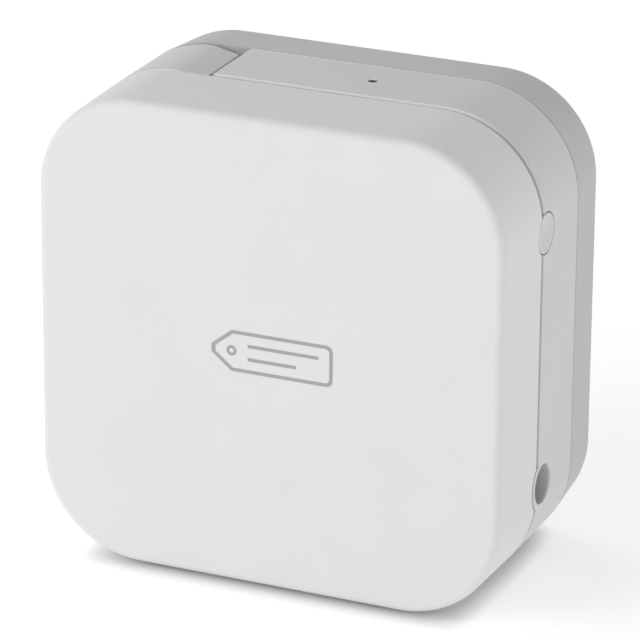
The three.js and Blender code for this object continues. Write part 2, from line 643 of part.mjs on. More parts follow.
function lightPipe() {
  const { x, y, radius } = LED_HOLE;
  return join(rodZ(x, y, radius - 0.1, 110, HEIGHT - 0.3, 12), rodZ(x, y, 2, 109, 111.5, 12));
}

function printHeadBracket() {
  const { x, back, foot, footBack, z } = HEAD_BRACKET;
  return join(box(x, [CHASSIS.back, back], z), box(foot, [CHASSIS.back, footBack], z));
}

function motor() {
  const can = rodY(0, 0, MOTOR.radius, CHASSIS.back, MOTOR.back, 32);
  const backBearing = rodY(0, 0, MOTOR.bearing, MOTOR.back - 0.5, MOTOR.bearingBack, 20);
  const terminals = box([-6, 6], [MOTOR.back - 0.5, MOTOR.back + 0.8], [-8, -6]);
  return cut(join(can, backBearing, terminals), rodY(0, 0, 1.2, -6, 3, 16));
}

const frameGroup = newGroup();
addTo(frameGroup, "chassis", chassis(), DARK_GREY);
addTo(frameGroup, "gear_bracket", gearBracket(), STEEL);
addTo(frameGroup, "main_board", mainBoard(), BOARD_GREEN);
addTo(frameGroup, "side_board", sideBoard(), BOARD_GREEN);
addTo(frameGroup, "dc_jack", dcJack(), BLACK);
addTo(frameGroup, "power_switch", powerSwitch(), BLACK);
addTo(frameGroup, "led_board", ledBoard(), BOARD_GREEN);
addTo(frameGroup, "led_light_pipe", lightPipe(), CLEAR);
addTo(frameGroup, "head_bracket", printHeadBracket(), ALUMINIUM);
addTo(frameGroup, "print_head", box(HEAD.x, HEAD.y, HEAD.z), BLACK);
addTo(frameGroup, "motor", motor(), STEEL, at.motor);

// ---------------------------------------------------------------- gear train
const DRIVE_SHAFT = 1.7;
const SHAFT_END = 11;

function platenShaft() {
  const shaft = rodY(0, 0, 1, PLANES[0][0], 12.9, 16);
  return join(gear(TEETH.platen, phase.platen, PLANES[0], 0), shaft);
}

// A gear with a six-sided shaft that reaches back into the cassette.
function splinedGear(teeth, gearPhase) {
  return join(gear(teeth, gearPhase, PLANES[0], 0), rodY(0, 0, DRIVE_SHAFT, PLANES[0][0], SHAFT_END, 6));
}

function compoundGear(small, smallPhase, smallPlane, large, largePhase, largePlane) {
  const hub = rodY(0, 0, 2.6, largePlane[1] - 0.3, smallPlane[0] + 0.3, 12);
  const wheels = join(
    gear(small, smallPhase, smallPlane, 0),
    gear(large, largePhase, largePlane, 0),
    hub,
  );
  return cut(wheels, rodY(0, 0, GEAR_BORE, largePlane[0] - 1, smallPlane[1] + 1, 12));
}

function motorPinion() {
  return join(gear(TEETH.pinion, phase.pinion, PLANES[2], 0), rodY(0, 0, 1, PLANES[2][0], 2.5, 16));
}

const gearGroup = newGroup();
const [nearPlane, middlePlane, farPlane] = PLANES;
addTo(gearGroup, "idler_gear", gear(TEETH.idler, phase.idler, nearPlane, GEAR_BORE), GEAR_WHITE, at.idler);
const reductionA = compoundGear(TEETH.aSmall, phase.aSmall, nearPlane, TEETH.aLarge, phase.aLarge,
  middlePlane);
addTo(gearGroup, "reduction_gear_a", reductionA, GEAR_WHITE, at.a);
const reductionB = compoundGear(TEETH.bSmall, phase.bSmall, middlePlane, TEETH.bLarge, phase.bLarge,
  farPlane);
addTo(gearGroup, "reduction_gear_b", reductionB, GEAR_WHITE, at.b);
addTo(gearGroup, "motor_pinion", motorPinion(), BRASS, at.motor);
addTo(gearGroup, "tape_drive_gear", splinedGear(TEETH.drive, phase.drive), GEAR_WHITE, at.drive);
addTo(gearGroup, "take_up_gear", splinedGear(TEETH.takeUp, phase.takeUp), GEAR_WHITE, at.takeUp);

// ---------------------------------------------------------------- roller holder
function rollerHolder() {
  const { x, z } = HOLDER_PIVOT;
  const plateShape = polygon([[x - 2, z - 2], [x + 2.5, z - 2], [x + 2.5, 76], [-27, 80], [-27, 102.3],
    [-37.5, 102.3]]);
  const plates = HOLDER_PLATES.map(([y0, y1]) => prism(plateShape, y0, y1));
  const depth = [HOLDER_PLATES[0][0], HOLDER_PLATES[1][1]];
  const backWall = box(HOLDER_BACK.x, depth, HOLDER_BACK.z);
  const hub = rodY(x, z, 2.6, ...depth);
  return cut(
    join(...plates, backWall, hub),
    rodY(x, z, PIN.holder + 0.1, -6, 14),
    rodY(at.platen.x, at.platen.z, 1.08, -6, 14, 20),
    rodY(at.feed.x, at.feed.z, 0.88, -6, 14, 20),
  );
}

function roller(radius, bore) {
  return cut(rodY(0, 0, radius, TAPE.front - 0.6, TAPE.back + 0.6, 20), rodY(0, 0, bore, -4, 12, 12));
}

const holderGroup = newGroup();
addTo(holderGroup, "roller_holder", rollerHolder(), DARK_GREY);
addTo(holderGroup, "holder_pin", rodY(0, 0, PIN.holder, CHASSIS.front, 13, 20), STEEL, HOLDER_PIVOT);
const holderSpring = torsionCoil(3.4, 0.6, 0, 5, 3, [[-6.5, -1], [-3.9, 9], Math.PI]);
addTo(holderGroup, "holder_spring", holderSpring, STEEL, HOLDER_PIVOT);
addTo(holderGroup, "platen_shaft", platenShaft(), STEEL, at.platen);
addTo(holderGroup, "platen_roller", roller(PLATEN.radius, 1.1), RUBBER, at.platen);
const feedRoller = join(rodY(0, 0, FEED.radius, TAPE.front - 0.6, TAPE.back + 0.6, 24),
  rodY(0, 0, 0.8, -4.1, 12.1, 16));
addTo(holderGroup, "feed_roller", feedRoller, RUBBER, at.feed);

// ---------------------------------------------------------------- cassette
// The cassette's block: a body and two arms that reach round the print head.
function cassetteBlock(inset, ...depth) {
  const shrunk = ([from, to]) => [from + inset, to - inset];
  const [left, right] = CASSETTE_ARMS.x;
  return join(
    box(shrunk(CASSETTE_BODY.x), depth, shrunk(CASSETTE_BODY.z)),
    box([left + inset, right], depth, shrunk(CASSETTE_ARMS.upper)),
    box([left + inset, right], depth, shrunk(CASSETTE_ARMS.lower)),
  );
}

function cassetteShell(y0, y1, openY) {
  const { wall, front, back } = CASSETTE;
  const hollow = cassetteBlock(wall, front + wall, back - wall);
  const rollerRoom = rodY(at.drive.x, at.drive.z, driveRadius + 0.35, front + wall, back - wall, 24);
  const shaftHoles = [at.drive, at.takeUp].map(({ x, z }) => rodY(x, z, 2.2, front - 1, openY, 20));
  return cut(cassetteBlock(0, y0, y1), hollow, rollerRoom, ...shaftHoles);
}

function cassetteFrontShell() {
  const { front, split, wall } = CASSETTE;
  const shell = cassetteShell(front, split, front + wall + 0.5);
  return join(
    shell,
    rodY(at.tapeRoll.x, at.tapeRoll.z, 5.6, front + wall - 0.2, CASSETTE.hub),
    rodY(at.supply.x, at.supply.z, 1.4, front + wall - 0.2, CASSETTE.hub, 16),
  );
}

function cassetteBackShell() {
  const { split, back, joint } = CASSETTE;
  return cassetteShell(split + joint, back, split);
}

function spool(radius, coreRadius, bore) {
  const { front, back } = TAPE;
  return cut(
    join(rodY(0, 0, radius, front, back), rodY(0, 0, coreRadius, front - 1, back + 1, 12)),
    rodY(0, 0, bore, -5, 13, 12),
  );
}

const cassetteGroup = newGroup();
addTo(cassetteGroup, "cassette_front_shell", cassetteFrontShell(), PALE_GREY);
addTo(cassetteGroup, "cassette_back_shell", cassetteBackShell(), PALE_GREY);
addTo(cassetteGroup, "tape_roll", spool(19, 9, 6), PAPER, at.tapeRoll);
addTo(cassetteGroup, "ribbon_supply_spool", spool(6, 3, 1.6), BLACK, at.supply);
addTo(cassetteGroup, "ribbon_take_up_spool", spool(4, 3, 1.95), BLACK, at.takeUp);
addTo(cassetteGroup, "cassette_drive_roller", roller(driveRadius, 1.95), DARK_GREY, at.drive);
const labelTape = box([TAPE.x - TAPE.thickness / 2, TAPE.x + TAPE.thickness / 2],
  [TAPE.front, TAPE.back], [TAPE.bottom, TAPE.top]);
addTo(cassetteGroup, "label_tape", labelTape, PAPER);

// ---------------------------------------------------------------- cells
function batteryTray() {
  const { left, right, bottom, top, floor, back, wall } = TRAY;
  const pocketX = [left + wall, right - wall];
  const pocketZ = [bottom + wall, top - wall];
  return cut(
    box([left, right], [CHASSIS.back, back], [bottom, top]),
    box(pocketX, [floor, back + 1], pocketZ),
    box(pocketX, [CHASSIS.back - 1, floor - wall], pocketZ),
  );
}

function cell() {
  const can = rodX(0, 0, CELL.radius, -CELL.length / 2, CELL.length / 2 - 1, 18);
  return join(can, rodX(0, 0, 1.8, CELL.length / 2 - 1.2, CELL.length / 2, 8));
}

// A contact strip on one end wall of the tray, with a pad for each cell.
function contactStrip(wallX, towards, reach) {
  const { bottom, top, floor, back, wall } = TRAY;
  const strip = [wallX, wallX + towards * 0.5].sort((a, b) => a - b);
  let body = box(strip, [floor + 0.3, back - 0.6], [bottom + wall + 0.3, top - wall - 0.3]);
  for (let row = 0; row < 3; row++) {
    for (let layer = 0; layer < 2; layer++) {
      const ends = [wallX + towards * 0.2, wallX + towards * reach].sort((a, b) => a - b);
      const y = CELL.frontY + layer * CELL.pitch;
      body = body.add(rodX(y, CELL.firstZ + row * CELL.pitch, 2.6, ends[0], ends[1], 8));
    }
  }
  return body;
}

const powerGroup = newGroup();
addTo(powerGroup, "battery_tray", batteryTray(), DARK_GREY);
const trayLeft = TRAY.left + TRAY.wall;
const trayRight = TRAY.right - TRAY.wall;
const leftReach = CELL.x - CELL.length / 2 - trayLeft - 0.3;
const rightReach = trayRight - CELL.x - CELL.length / 2 - 0.3;
addTo(powerGroup, "contact_strip_left", contactStrip(trayLeft, 1, leftReach), STEEL);
addTo(powerGroup, "contact_strip_right", contactStrip(trayRight, -1, rightReach), STEEL);
for (let row = 0; row < 3; row++) {
  for (let layer = 0; layer < 2; layer++) {
    const place = { x: CELL.x, y: CELL.frontY + layer * CELL.pitch, z: CELL.firstZ + row * CELL.pitch };
    addTo(powerGroup, `battery_cell_${row * 2 + layer + 1}`, cell(), CELL_SLEEVE, place);
  }
}

export default labelMaker;
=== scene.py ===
"""A cube-shaped label maker on a pale studio floor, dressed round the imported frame.

The frame is in metres: X points right, Y to the back, Z up. Shapes below are drawn in millimetres
and scaled when they are finished.
"""

import json
import math

import bmesh
import bpy
from mathutils import Matrix, Vector

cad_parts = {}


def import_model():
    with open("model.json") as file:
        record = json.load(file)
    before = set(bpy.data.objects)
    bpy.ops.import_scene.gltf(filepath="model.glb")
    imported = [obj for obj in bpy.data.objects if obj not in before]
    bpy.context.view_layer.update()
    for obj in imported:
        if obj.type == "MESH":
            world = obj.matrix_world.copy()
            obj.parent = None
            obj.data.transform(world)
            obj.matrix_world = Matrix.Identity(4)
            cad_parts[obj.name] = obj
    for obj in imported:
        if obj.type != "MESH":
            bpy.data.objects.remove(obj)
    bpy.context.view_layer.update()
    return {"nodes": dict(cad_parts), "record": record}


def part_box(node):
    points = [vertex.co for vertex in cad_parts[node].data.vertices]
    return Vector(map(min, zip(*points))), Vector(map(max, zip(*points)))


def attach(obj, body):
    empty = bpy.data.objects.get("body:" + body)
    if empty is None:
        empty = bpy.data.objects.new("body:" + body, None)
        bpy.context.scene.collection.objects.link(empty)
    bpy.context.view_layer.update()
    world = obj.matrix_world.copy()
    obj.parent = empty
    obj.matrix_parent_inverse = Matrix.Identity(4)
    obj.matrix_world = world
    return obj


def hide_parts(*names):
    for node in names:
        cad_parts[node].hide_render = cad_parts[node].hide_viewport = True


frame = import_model()
nodes = frame["nodes"]
scene = bpy.context.scene

MM = 0.001

# ---------------------------------------------------------------- the case, in mm
WIDTH = 115.0
DEPTH = 61.0
HEIGHT = 115.0
FOOT_PROUD = 0.7
CORNER_RADIUS = 24.7
CORNER_STEPS = 28
WALL = 2.2
EDGE_FILLET = 2.0
LIP_FILLET = 0.22
SEAM_FRONT_ROUND = 0.9
SEAM_BACK_ROUND = 0.3
HOLE_FLARE = 0.2
MOUTH_STRAIGHT = 0.4
FILLET_STEPS = 10
SMALL_STEPS = 6
# a ring this far beside each round keeps the round's shading off the flat wall
SUPPORT = 0.6
SEAM_SUPPORT = 1.0
CAVITY_CHAMFER = 1.2
FRONT_WALL = WALL + 0.2
PRINT_ROOM = 0.04
FRONT_DRAFT = 0.36
FRONT_DRAFT_START = 0.01
BACK_TAPER = 1.1
BACK_TAPER_START = 0.06
# Y of the front and back edges of the two joints between the case's three shells
SEAM = (-7.6, -6.8)
JOINT = (14.225, 14.475)
# inset of the outer and inner faces of the tongues that locate the shells, and their ends in Y
TONGUE = (2.5, 3.7)
TONGUE_BACK = (11.5, 16.5)
TONGUE_FRONT = (-9.5, -4.5)
HALF_WIDTH = WIDTH / 2
HALF_BODY = (HEIGHT - FOOT_PROUD) / 2
MID_Z = FOOT_PROUD + HALF_BODY
FRONT_Y = -DEPTH / 2
BACK_Y = DEPTH / 2
CORNER_X = HALF_WIDTH - CORNER_RADIUS
CORNER_TOP = HEIGHT - CORNER_RADIUS

LED = {"x": 11.0, "y": 3.8, "radius": 1.1, "flare": 0.15, "bottom": 110.0}
LENS = {"gap": 0.04, "dome": 0.1, "below": 0.08, "stem_radius": 2.0, "stem": (109.0, 111.5)}
BUTTON = {"y": -5.5, "z": 88.4, "radius": 4.75, "gap": 0.3, "dish": 0.9, "rim": 0.28, "inside": 52.0,
          "flange": 0.9, "flange_top": 2.8, "flange_bottom": 3.8, "stem_radius": 2.0, "stem_end": 6.6,
          "rim_straight": 0.2, "rim_land": 0.15, "rim_below": 0.02, "dish_below": 0.04, "centre": 0.02}
JACK = {"y": -3.6, "z": 26.7, "bore": 4.7, "bore_flare": 0.55, "collar": 6.4, "collar_end": 60.0,
        "collar_flare": 0.25, "gap": 0.5, "inside": 52.6}
COLLAR_TRIM_Y = (-12, 6)
SHELL_INSIDE_X = 48.0
SCOOP = {"radius": 9.0, "depth": 1.1, "half": 4.7, "z": 99.0}
COVER_STEP_Y = 17.0
COVER_RIBS = {"x": (-6, 16, 38), "half": 0.8, "front": 13.4, "sunk": 0.6, "z": (58, 98), "round": 0.3}
# X and Z of the lower left and upper right corner of each screw lug
LUGS = (((20.5, 105.4), (27.5, 114.0)), ((-57.0, 61.5), (-47.6, 68.5)),
        ((33.5, 1.5), (40.5, 18.5)), ((-40.5, 1.5), (-33.5, 18.5)))
LUG_Y = (-4.7, -2.8)
LUG_TRIM_Y = (-8, 0)
LUG_ROUND = 0.3
# inset of the shape that trims the lugs and the lever's plates to the inside of the walls
TRIM_INSET = 1
WINDOW = {"right": -24.1, "bottom": 88.4, "back": 13.8, "top": 113.5, "chamfer": 0.35, "room": -20.4,
          "skin_front": 0.3, "skin_back": 1.0, "skin_extra": 0.1}
OUTSIDE_X = -60
OUTSIDE_Z = 120
LEVER = {"end_x": -26.3, "flush_x": -34.0, "bottom": 88.9, "front": -7.2, "back": 13.5,
         "thickness": 1.9, "gap": 0.35, "rim": 0.35, "rim_growth": 0.35, "dish": 0.2, "dish_shape": 1.5}
LEVER_END = {"sunk": 1.3, "roll": 0.4, "thickness": 1.6}
# the sweep from the flush part down to the free end: X of the two inner control points, and their rise
LEVER_SWEEP = {"top_x": (-31.5, -29.5), "top_rise": 0.3, "under_x": (-31.5, -29.0), "under_rise": 0.2}
LEVER_PIVOT = (-48.0, 76.7)
LEVER_HUB = {"radius": 3.0, "bore": 1.5, "y": (-4.2, 12.7), "chamfer": 0.2}
LEVER_STEPS = {"corner": 30, "sweep": 24, "roll": 6, "across": 22}
# Y of both faces of each plate, and the plates' outline in X and Z from the hub's left side to its right
LEVER_PLATES = ((-4.2, -2.4), (10.9, 12.7))
LEVER_PLATE_LINE = ((-52.6, 88.2), (-58, 90.5), (-58, 118), (-44.5, 118), (-44.5, 100))
CELL = {"count": 6, "clearance": 0.02, "shoulder": 0.9, "nub": 1.75, "nub_height": 1.0,
        "nub_root": 0.05, "nub_side": 0.25, "nub_round": 0.2, "nub_centre": 0.1}
FOOT = {"count": 4, "round": 0.35, "ease": (0.1, 0.12)}
# the printed tag: its extent, nose, stroke and corner radius, and how an inset moves its slanted points
TAG = {"x": (-13.5, 16.5), "z": (53.4, 63.4), "nose": 5.0, "blunt": 1.0, "stroke": 0.85, "turn": 1.6,
       "eyelet": (1.25, 0.55), "line": 0.4, "front": 0.008, "sunk": 0.3}
TAG_INSET = {"tip_x": 1.2, "tip_z": 0.3, "nose_x": 0.4, "turn": 0.6}
# X of both ends of each printed line, and its distance from the middle of the tag
TAG_LINES = ((-4.5, 13.0, 1.6), (-4.5, 7.5, -1.6))
# how far the cutting shapes run past what they cut, and the smallest radius of a turned shape
PAST = 2.0
POINT_RADIUS = 0.05
# the turn in degrees above which an edge stays sharp in the shading
SMOOTH_ANGLE = 25.0


# ---------------------------------------------------------------- meshes
def add_mesh(name, vertices, faces):
    mesh = bpy.data.meshes.new(name)
    mesh.from_pydata([tuple(v) for v in vertices], [], faces)
    shape = bmesh.new()
    shape.from_mesh(mesh)
    bmesh.ops.recalc_face_normals(shape, faces=shape.faces)
    shape.to_mesh(mesh)
    shape.free()
    made = bpy.data.objects.new(name, mesh)
    scene.collection.objects.link(made)
    return made


def outline(inset):
    """The case's rounded square in X and Z, moved inwards by inset."""
    radius = CORNER_RADIUS - inset
    up = HALF_BODY - CORNER_RADIUS
    points = []
    for side_x, side_z, start in ((1, -1, -90), (1, 1, 0), (-1, 1, 90), (-1, -1, 180)):
        for i in range(CORNER_STEPS + 1):
            angle = math.radians(start + 90 * i / CORNER_STEPS)
            points.append((side_x * CORNER_X + radius * math.cos(angle),
                           MID_Z + side_z * up + radius * math.sin(angle)))
    return points


def skin(name, rings, closed=False):
    """A solid through rings of equal length; open ends are capped, a closed run joins up."""
    count = len(rings[0])
    vertices = [point for ring in rings for point in ring]
    faces = []
    spans = len(rings) if closed else len(rings) - 1
    for i in range(spans):
        near, far = i * count, (i + 1) % len(rings) * count
        for j in range(count):
            k = (j + 1) % count
            faces.append((near + j, near + k, far + k, far + j))
    if not closed:
        faces.append(tuple(range(count)))
        faces.append(tuple((len(rings) - 1) * count + j for j in range(count)))
    return add_mesh(name, vertices, faces)


def case_skin(name, stations, closed=False):
    rings = [[(x, y, z) for x, z in outline(inset)] for y, inset in stations]
    return skin(name, rings, closed)


def arc(corner_y, corner_inset, y_side, inset_side, radius, steps=FILLET_STEPS):
    """A quarter round at an outside corner of a (y, inset) profile.

    y_side says which way the solid lies along Y, and inset_side which way along the inset.
    The run starts on the face across Y and ends on the face along Y.
    """
    points = []
    for i in range(steps + 1):
        angle = math.pi / 2 * i / steps
        points.append((corner_y + y_side * radius * (1 - math.cos(angle)),
                       corner_inset + inset_side * radius * (1 - math.sin(angle))))
    return points


def lathe(name, profile, axis, centre, sides=72):
    """A solid turned about an axis, from (radius, height) pairs; both ends are capped."""
    rings = []
    for radius, height in profile:
        ring = []
        for i in range(sides):
            angle = 2 * math.pi * i / sides
            u, v = radius * math.cos(angle), radius * math.sin(angle)
            if axis == "X":
                ring.append((height, centre[0] + u, centre[1] + v))
            elif axis == "Y":
                ring.append((centre[0] + u, height, centre[1] + v))
            else:
                ring.append((centre[0] + u, centre[1] + v, height))
        rings.append(ring)
    return skin(name, rings)


def rounded_box(name, low, high, radius):
    """A block with every edge rounded."""
    corners = [(x, y, z) for x in (low[0], high[0]) for y in (low[1], high[1]) for z in (low[2], high[2])]
    faces = [(0, 1, 3, 2), (4, 6, 7, 5), (0, 4, 5, 1), (2, 3, 7, 6), (0, 2, 6, 4), (1, 5, 7, 3)]
    made = add_mesh(name, corners, faces)
    shape = bmesh.new()
    shape.from_mesh(made.data)
    bmesh.ops.bevel(shape, geom=shape.edges[:], offset=radius, segments=3, profile=0.5, affect="EDGES")
    shape.to_mesh(made.data)
    shape.free()
    return made


def prism(name, points, y0, y1):
    """An outline in X and Z, carried along Y."""
    return skin(name, [[(x, y, z) for x, z in points] for y in (y0, y1)])


def boolean(body, tool, operation):
    modifier = body.modifiers.new("boolean", "BOOLEAN")
    modifier.operation = operation
    modifier.solver = "MANIFOLD"
    modifier.object = tool
    bpy.context.view_layer.update()
    graph = bpy.context.evaluated_depsgraph_get()
    mesh = bpy.data.meshes.new_from_object(body.evaluated_get(graph))
    body.modifiers.clear()
    body.data = mesh
    bpy.data.objects.remove(tool)


def cut(body, *tools):
    for tool in tools:
        boolean(body, tool, "DIFFERENCE")


def join(body, *others):
    for other in others:
        boolean(body, other, "UNION")


def keep_inside(body, tool):
    boolean(body, tool, "INTERSECT")


def finish_piece(made, material, body, replaced=None):
    """Scales a piece to metres, smooths it, dresses it and hangs it on its body."""
    made.data.transform(Matrix.Scale(MM, 4))
    made.data.shade_smooth()
    made.data.set_sharp_from_angle(angle=math.radians(SMOOTH_ANGLE))
    made.data.materials.clear()
    made.data.materials.append(material)
    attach(made, body)
    if replaced:
        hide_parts(replaced)


# ---------------------------------------------------------------- materials
# the middle spread of a noise's values, for colour and for fine grain
NOISE_SPAN = (0.3, 0.7)
FINE_SPAN = (0.25, 0.75)
BEVEL_SAMPLES = 4
# cosine of the turn between flat ground and an edge, and how far an edge faces up and along Y to get the
# painted highlight on top edges
EDGE_TURN = (0.997, 0.94)
TOP_EDGE_HIGHLIGHT = (0.06, 0.26)
OTHER_EDGE_WEAR = 0.06
# how far the roughness strays below and above its middle
MOULDED_GLOSS = (0.06, 0.08)
METAL_GLOSS = (0.04, 0.06)
# where the pale band starts, as a share of the cell's length, and how squarely a bare end faces along X
CELL_BAND = (0.70, 0.705)
CELL_END_FACING = (0.80, 0.90)
CELL_ROUGHNESS = (0.28, 0.36)
BOARD_ROUGHNESS = (0.28, 0.42)


def shader(name):
    material = bpy.data.materials.new(name)
    material.use_nodes = True
    tree = material.node_tree
    return material, tree, tree.nodes["Principled BSDF"]


def node(tree, kind, **inputs):
    made = tree.nodes.new(kind)
    for key, value in inputs.items():
        made.inputs[key.replace("_", " ")].default_value = value
    return made


def math_node(tree, operation, *sources):
    made = tree.nodes.new("ShaderNodeMath")
    made.operation = operation
    for source, socket in zip(sources, made.inputs):
        tree.links.new(source, socket)
    return made.outputs[0]


def noise(tree, scale, detail=3.0, roughness=0.55):
    made = node(tree, "ShaderNodeTexNoise", Scale=scale, Detail=detail, Roughness=roughness)
    place = tree.nodes.new("ShaderNodeTexCoord")
    tree.links.new(place.outputs["Object"], made.inputs["Vector"])
    return made


def ramp(tree, source, low, high, first, second):
    made = tree.nodes.new("ShaderNodeMapRange")
    made.inputs["From Min"].default_value = low
    made.inputs["From Max"].default_value = high
    made.inputs["To Min"].default_value = first
    made.inputs["To Max"].default_value = second
    tree.links.new(source, made.inputs["Value"])
    return made.outputs["Result"]


def mix(tree, factor, first, second):
    made = tree.nodes.new("ShaderNodeMix")
    made.data_type = "RGBA"
    tree.links.new(factor, made.inputs["Factor"])
    for socket, value in (("A", first), ("B", second)):
        target = [i for i in made.inputs if i.name == socket and i.type == "RGBA"][0]
        if isinstance(value, tuple):
            target.default_value = (*value, 1.0)
        else:
            tree.links.new(value, target)
    return [o for o in made.outputs if o.type == "RGBA"][0]


def worn_and_highlit_edges(tree, radius):
    """Near 0 on flat ground and towards 1 at an edge within the radius, most on the long top edges: rubbed
    wear, plus a painted highlight on the edges that face up.
    """
    soft = node(tree, "ShaderNodeBevel", Radius=radius)
    soft.samples = BEVEL_SAMPLES
    flat = tree.nodes.new("ShaderNodeNewGeometry")
    turn = tree.nodes.new("ShaderNodeVectorMath")
    turn.operation = "DOT_PRODUCT"
    tree.links.new(soft.outputs["Normal"], turn.inputs[0])
    tree.links.new(flat.outputs["Normal"], turn.inputs[1])
    split = tree.nodes.new("ShaderNodeSeparateXYZ")
    tree.links.new(soft.outputs["Normal"], split.inputs[0])
    # edges facing up and along Y get a painted highlight; other edges keep only a little rubbed wear
    upward = math_node(tree, "SUBTRACT", split.outputs["Z"], math_node(tree, "ABSOLUTE", split.outputs["X"]))
    top_highlight = math_node(tree, "MULTIPLY", upward, math_node(tree, "ABSOLUTE", split.outputs["Y"]))
    return math_node(tree, "MULTIPLY", ramp(tree, turn.outputs["Value"], *EDGE_TURN, 0.0, 1.0),
                     ramp(tree, top_highlight, *TOP_EDGE_HIGHLIGHT, OTHER_EDGE_WEAR, 1.0))


def moulded(name, colour, tint, edge, roughness=0.5, grain=2600.0, depth=0.00002, wear_and_highlight_radius=0.0005,
            specular=0.4, sheen_scale=55.0, strength=0.22, soften=0.0):
    """Moulded plastic: fine etched grain, slight clouding of colour and gloss, and edges lightened by rubbed
    wear and a painted highlight.

    A soften above 0 also rounds the shading of sharp edges over that radius.
    """
    material, tree, bsdf = shader(name)
    cloud = noise(tree, sheen_scale, 4.0)
    clouded = mix(tree, ramp(tree, cloud.outputs["Fac"], *NOISE_SPAN, 0.0, 1.0), colour, tint)
    # the edge colour is partly rubbed wear and partly a painted highlight on the top edges
    if edge:
        clouded = mix(tree, worn_and_highlit_edges(tree, wear_and_highlight_radius), clouded, edge)
    tree.links.new(clouded, bsdf.inputs["Base Color"])
    fine = noise(tree, grain, 2.0, 0.6)
    below, above = MOULDED_GLOSS
    tree.links.new(ramp(tree, fine.outputs["Fac"], *FINE_SPAN, roughness - below, roughness + above),
                   bsdf.inputs["Roughness"])
    bump = node(tree, "ShaderNodeBump", Strength=strength, Distance=depth)
    tree.links.new(fine.outputs["Fac"], bump.inputs["Height"])
    if soften:
        rounded = node(tree, "ShaderNodeBevel", Radius=soften)
        rounded.samples = BEVEL_SAMPLES
        tree.links.new(rounded.outputs["Normal"], bump.inputs["Normal"])
    tree.links.new(bump.outputs["Normal"], bsdf.inputs["Normal"])
    bsdf.inputs["Specular IOR Level"].default_value = specular
    return material


def metal(name, colour, tint, roughness=0.32, stretch=(1.0, 1.0, 1.0), scale=400.0):
    """Bare metal with drawn or turned marks along one way and a little clouding."""
    material, tree, bsdf = shader(name)
    place = tree.nodes.new("ShaderNodeTexCoord")
    squeeze = node(tree, "ShaderNodeMapping", Scale=stretch)
    tree.links.new(place.outputs["Object"], squeeze.inputs["Vector"])
    marks = node(tree, "ShaderNodeTexNoise", Scale=scale, Detail=3.0, Roughness=0.6)
    tree.links.new(squeeze.outputs["Vector"], marks.inputs["Vector"])
    shade = ramp(tree, marks.outputs["Fac"], *NOISE_SPAN, 0.0, 1.0)
    tree.links.new(mix(tree, shade, colour, tint), bsdf.inputs["Base Color"])
    below, above = METAL_GLOSS
    tree.links.new(ramp(tree, marks.outputs["Fac"], *NOISE_SPAN, roughness - below, roughness + above),
                   bsdf.inputs["Roughness"])
    bump = node(tree, "ShaderNodeBump", Strength=0.05, Distance=0.00001)
    tree.links.new(marks.outputs["Fac"], bump.inputs["Height"])
    tree.links.new(bump.outputs["Normal"], bsdf.inputs["Normal"])
    bsdf.inputs["Metallic"].default_value = 1.0
    return material


def cell_can():
    """A printed sleeve along the cell, with a pale band round it and bare steel across both ends."""
    material, tree, bsdf = shader("cell_can")
    place = tree.nodes.new("ShaderNodeTexCoord")
    along = tree.nodes.new("ShaderNodeSeparateXYZ")
    tree.links.new(place.outputs["Generated"], along.inputs[0])
    film = noise(tree, 60.0, 3.0)
    sleeve = mix(tree, ramp(tree, film.outputs["Fac"], *NOISE_SPAN, 0.0, 1.0),
                 (0.030, 0.080, 0.200), (0.026, 0.072, 0.180))
    band = ramp(tree, along.outputs["X"], *CELL_BAND, 0.0, 1.0)
    printed = mix(tree, band, sleeve, (0.55, 0.56, 0.58))
    face = tree.nodes.new("ShaderNodeNewGeometry")
    turned = tree.nodes.new("ShaderNodeSeparateXYZ")
    tree.links.new(face.outputs["Normal"], turned.inputs[0])
    facing = math_node(tree, "ABSOLUTE", turned.outputs["X"])
    bare = ramp(tree, facing, *CELL_END_FACING, 0.0, 1.0)
    tree.links.new(mix(tree, bare, printed, (0.50, 0.51, 0.52)), bsdf.inputs["Base Color"])
    tree.links.new(bare, bsdf.inputs["Metallic"])
    tree.links.new(ramp(tree, film.outputs["Fac"], *NOISE_SPAN, *CELL_ROUGHNESS), bsdf.inputs["Roughness"])
    return material


def board():
    """Green solder mask over copper tracks, with a faint fibre weave."""
    material, tree, bsdf = shader("circuit_board")
    place = tree.nodes.new("ShaderNodeTexCoord")
    tracks = node(tree, "ShaderNodeTexBrick", Scale=260.0)
    tracks.inputs["Mortar Size"].default_value = 0.012
    tree.links.new(place.outputs["Object"], tracks.inputs["Vector"])
    line = tracks.outputs["Fac"]
    weave = noise(tree, 1800.0, 2.0)
    mask = mix(tree, ramp(tree, weave.outputs["Fac"], *NOISE_SPAN, 0.0, 1.0),
               (0.010, 0.085, 0.032), (0.014, 0.110, 0.045))
    tree.links.new(mix(tree, line, mask, (0.05, 0.22, 0.09)), bsdf.inputs["Base Color"])
    tree.links.new(ramp(tree, weave.outputs["Fac"], *NOISE_SPAN, *BOARD_ROUGHNESS),
                   bsdf.inputs["Roughness"])
    bump = node(tree, "ShaderNodeBump", Strength=0.2, Distance=0.00003)
    tree.links.new(line, bump.inputs["Height"])
    tree.links.new(bump.outputs["Normal"], bsdf.inputs["Normal"])
    return material


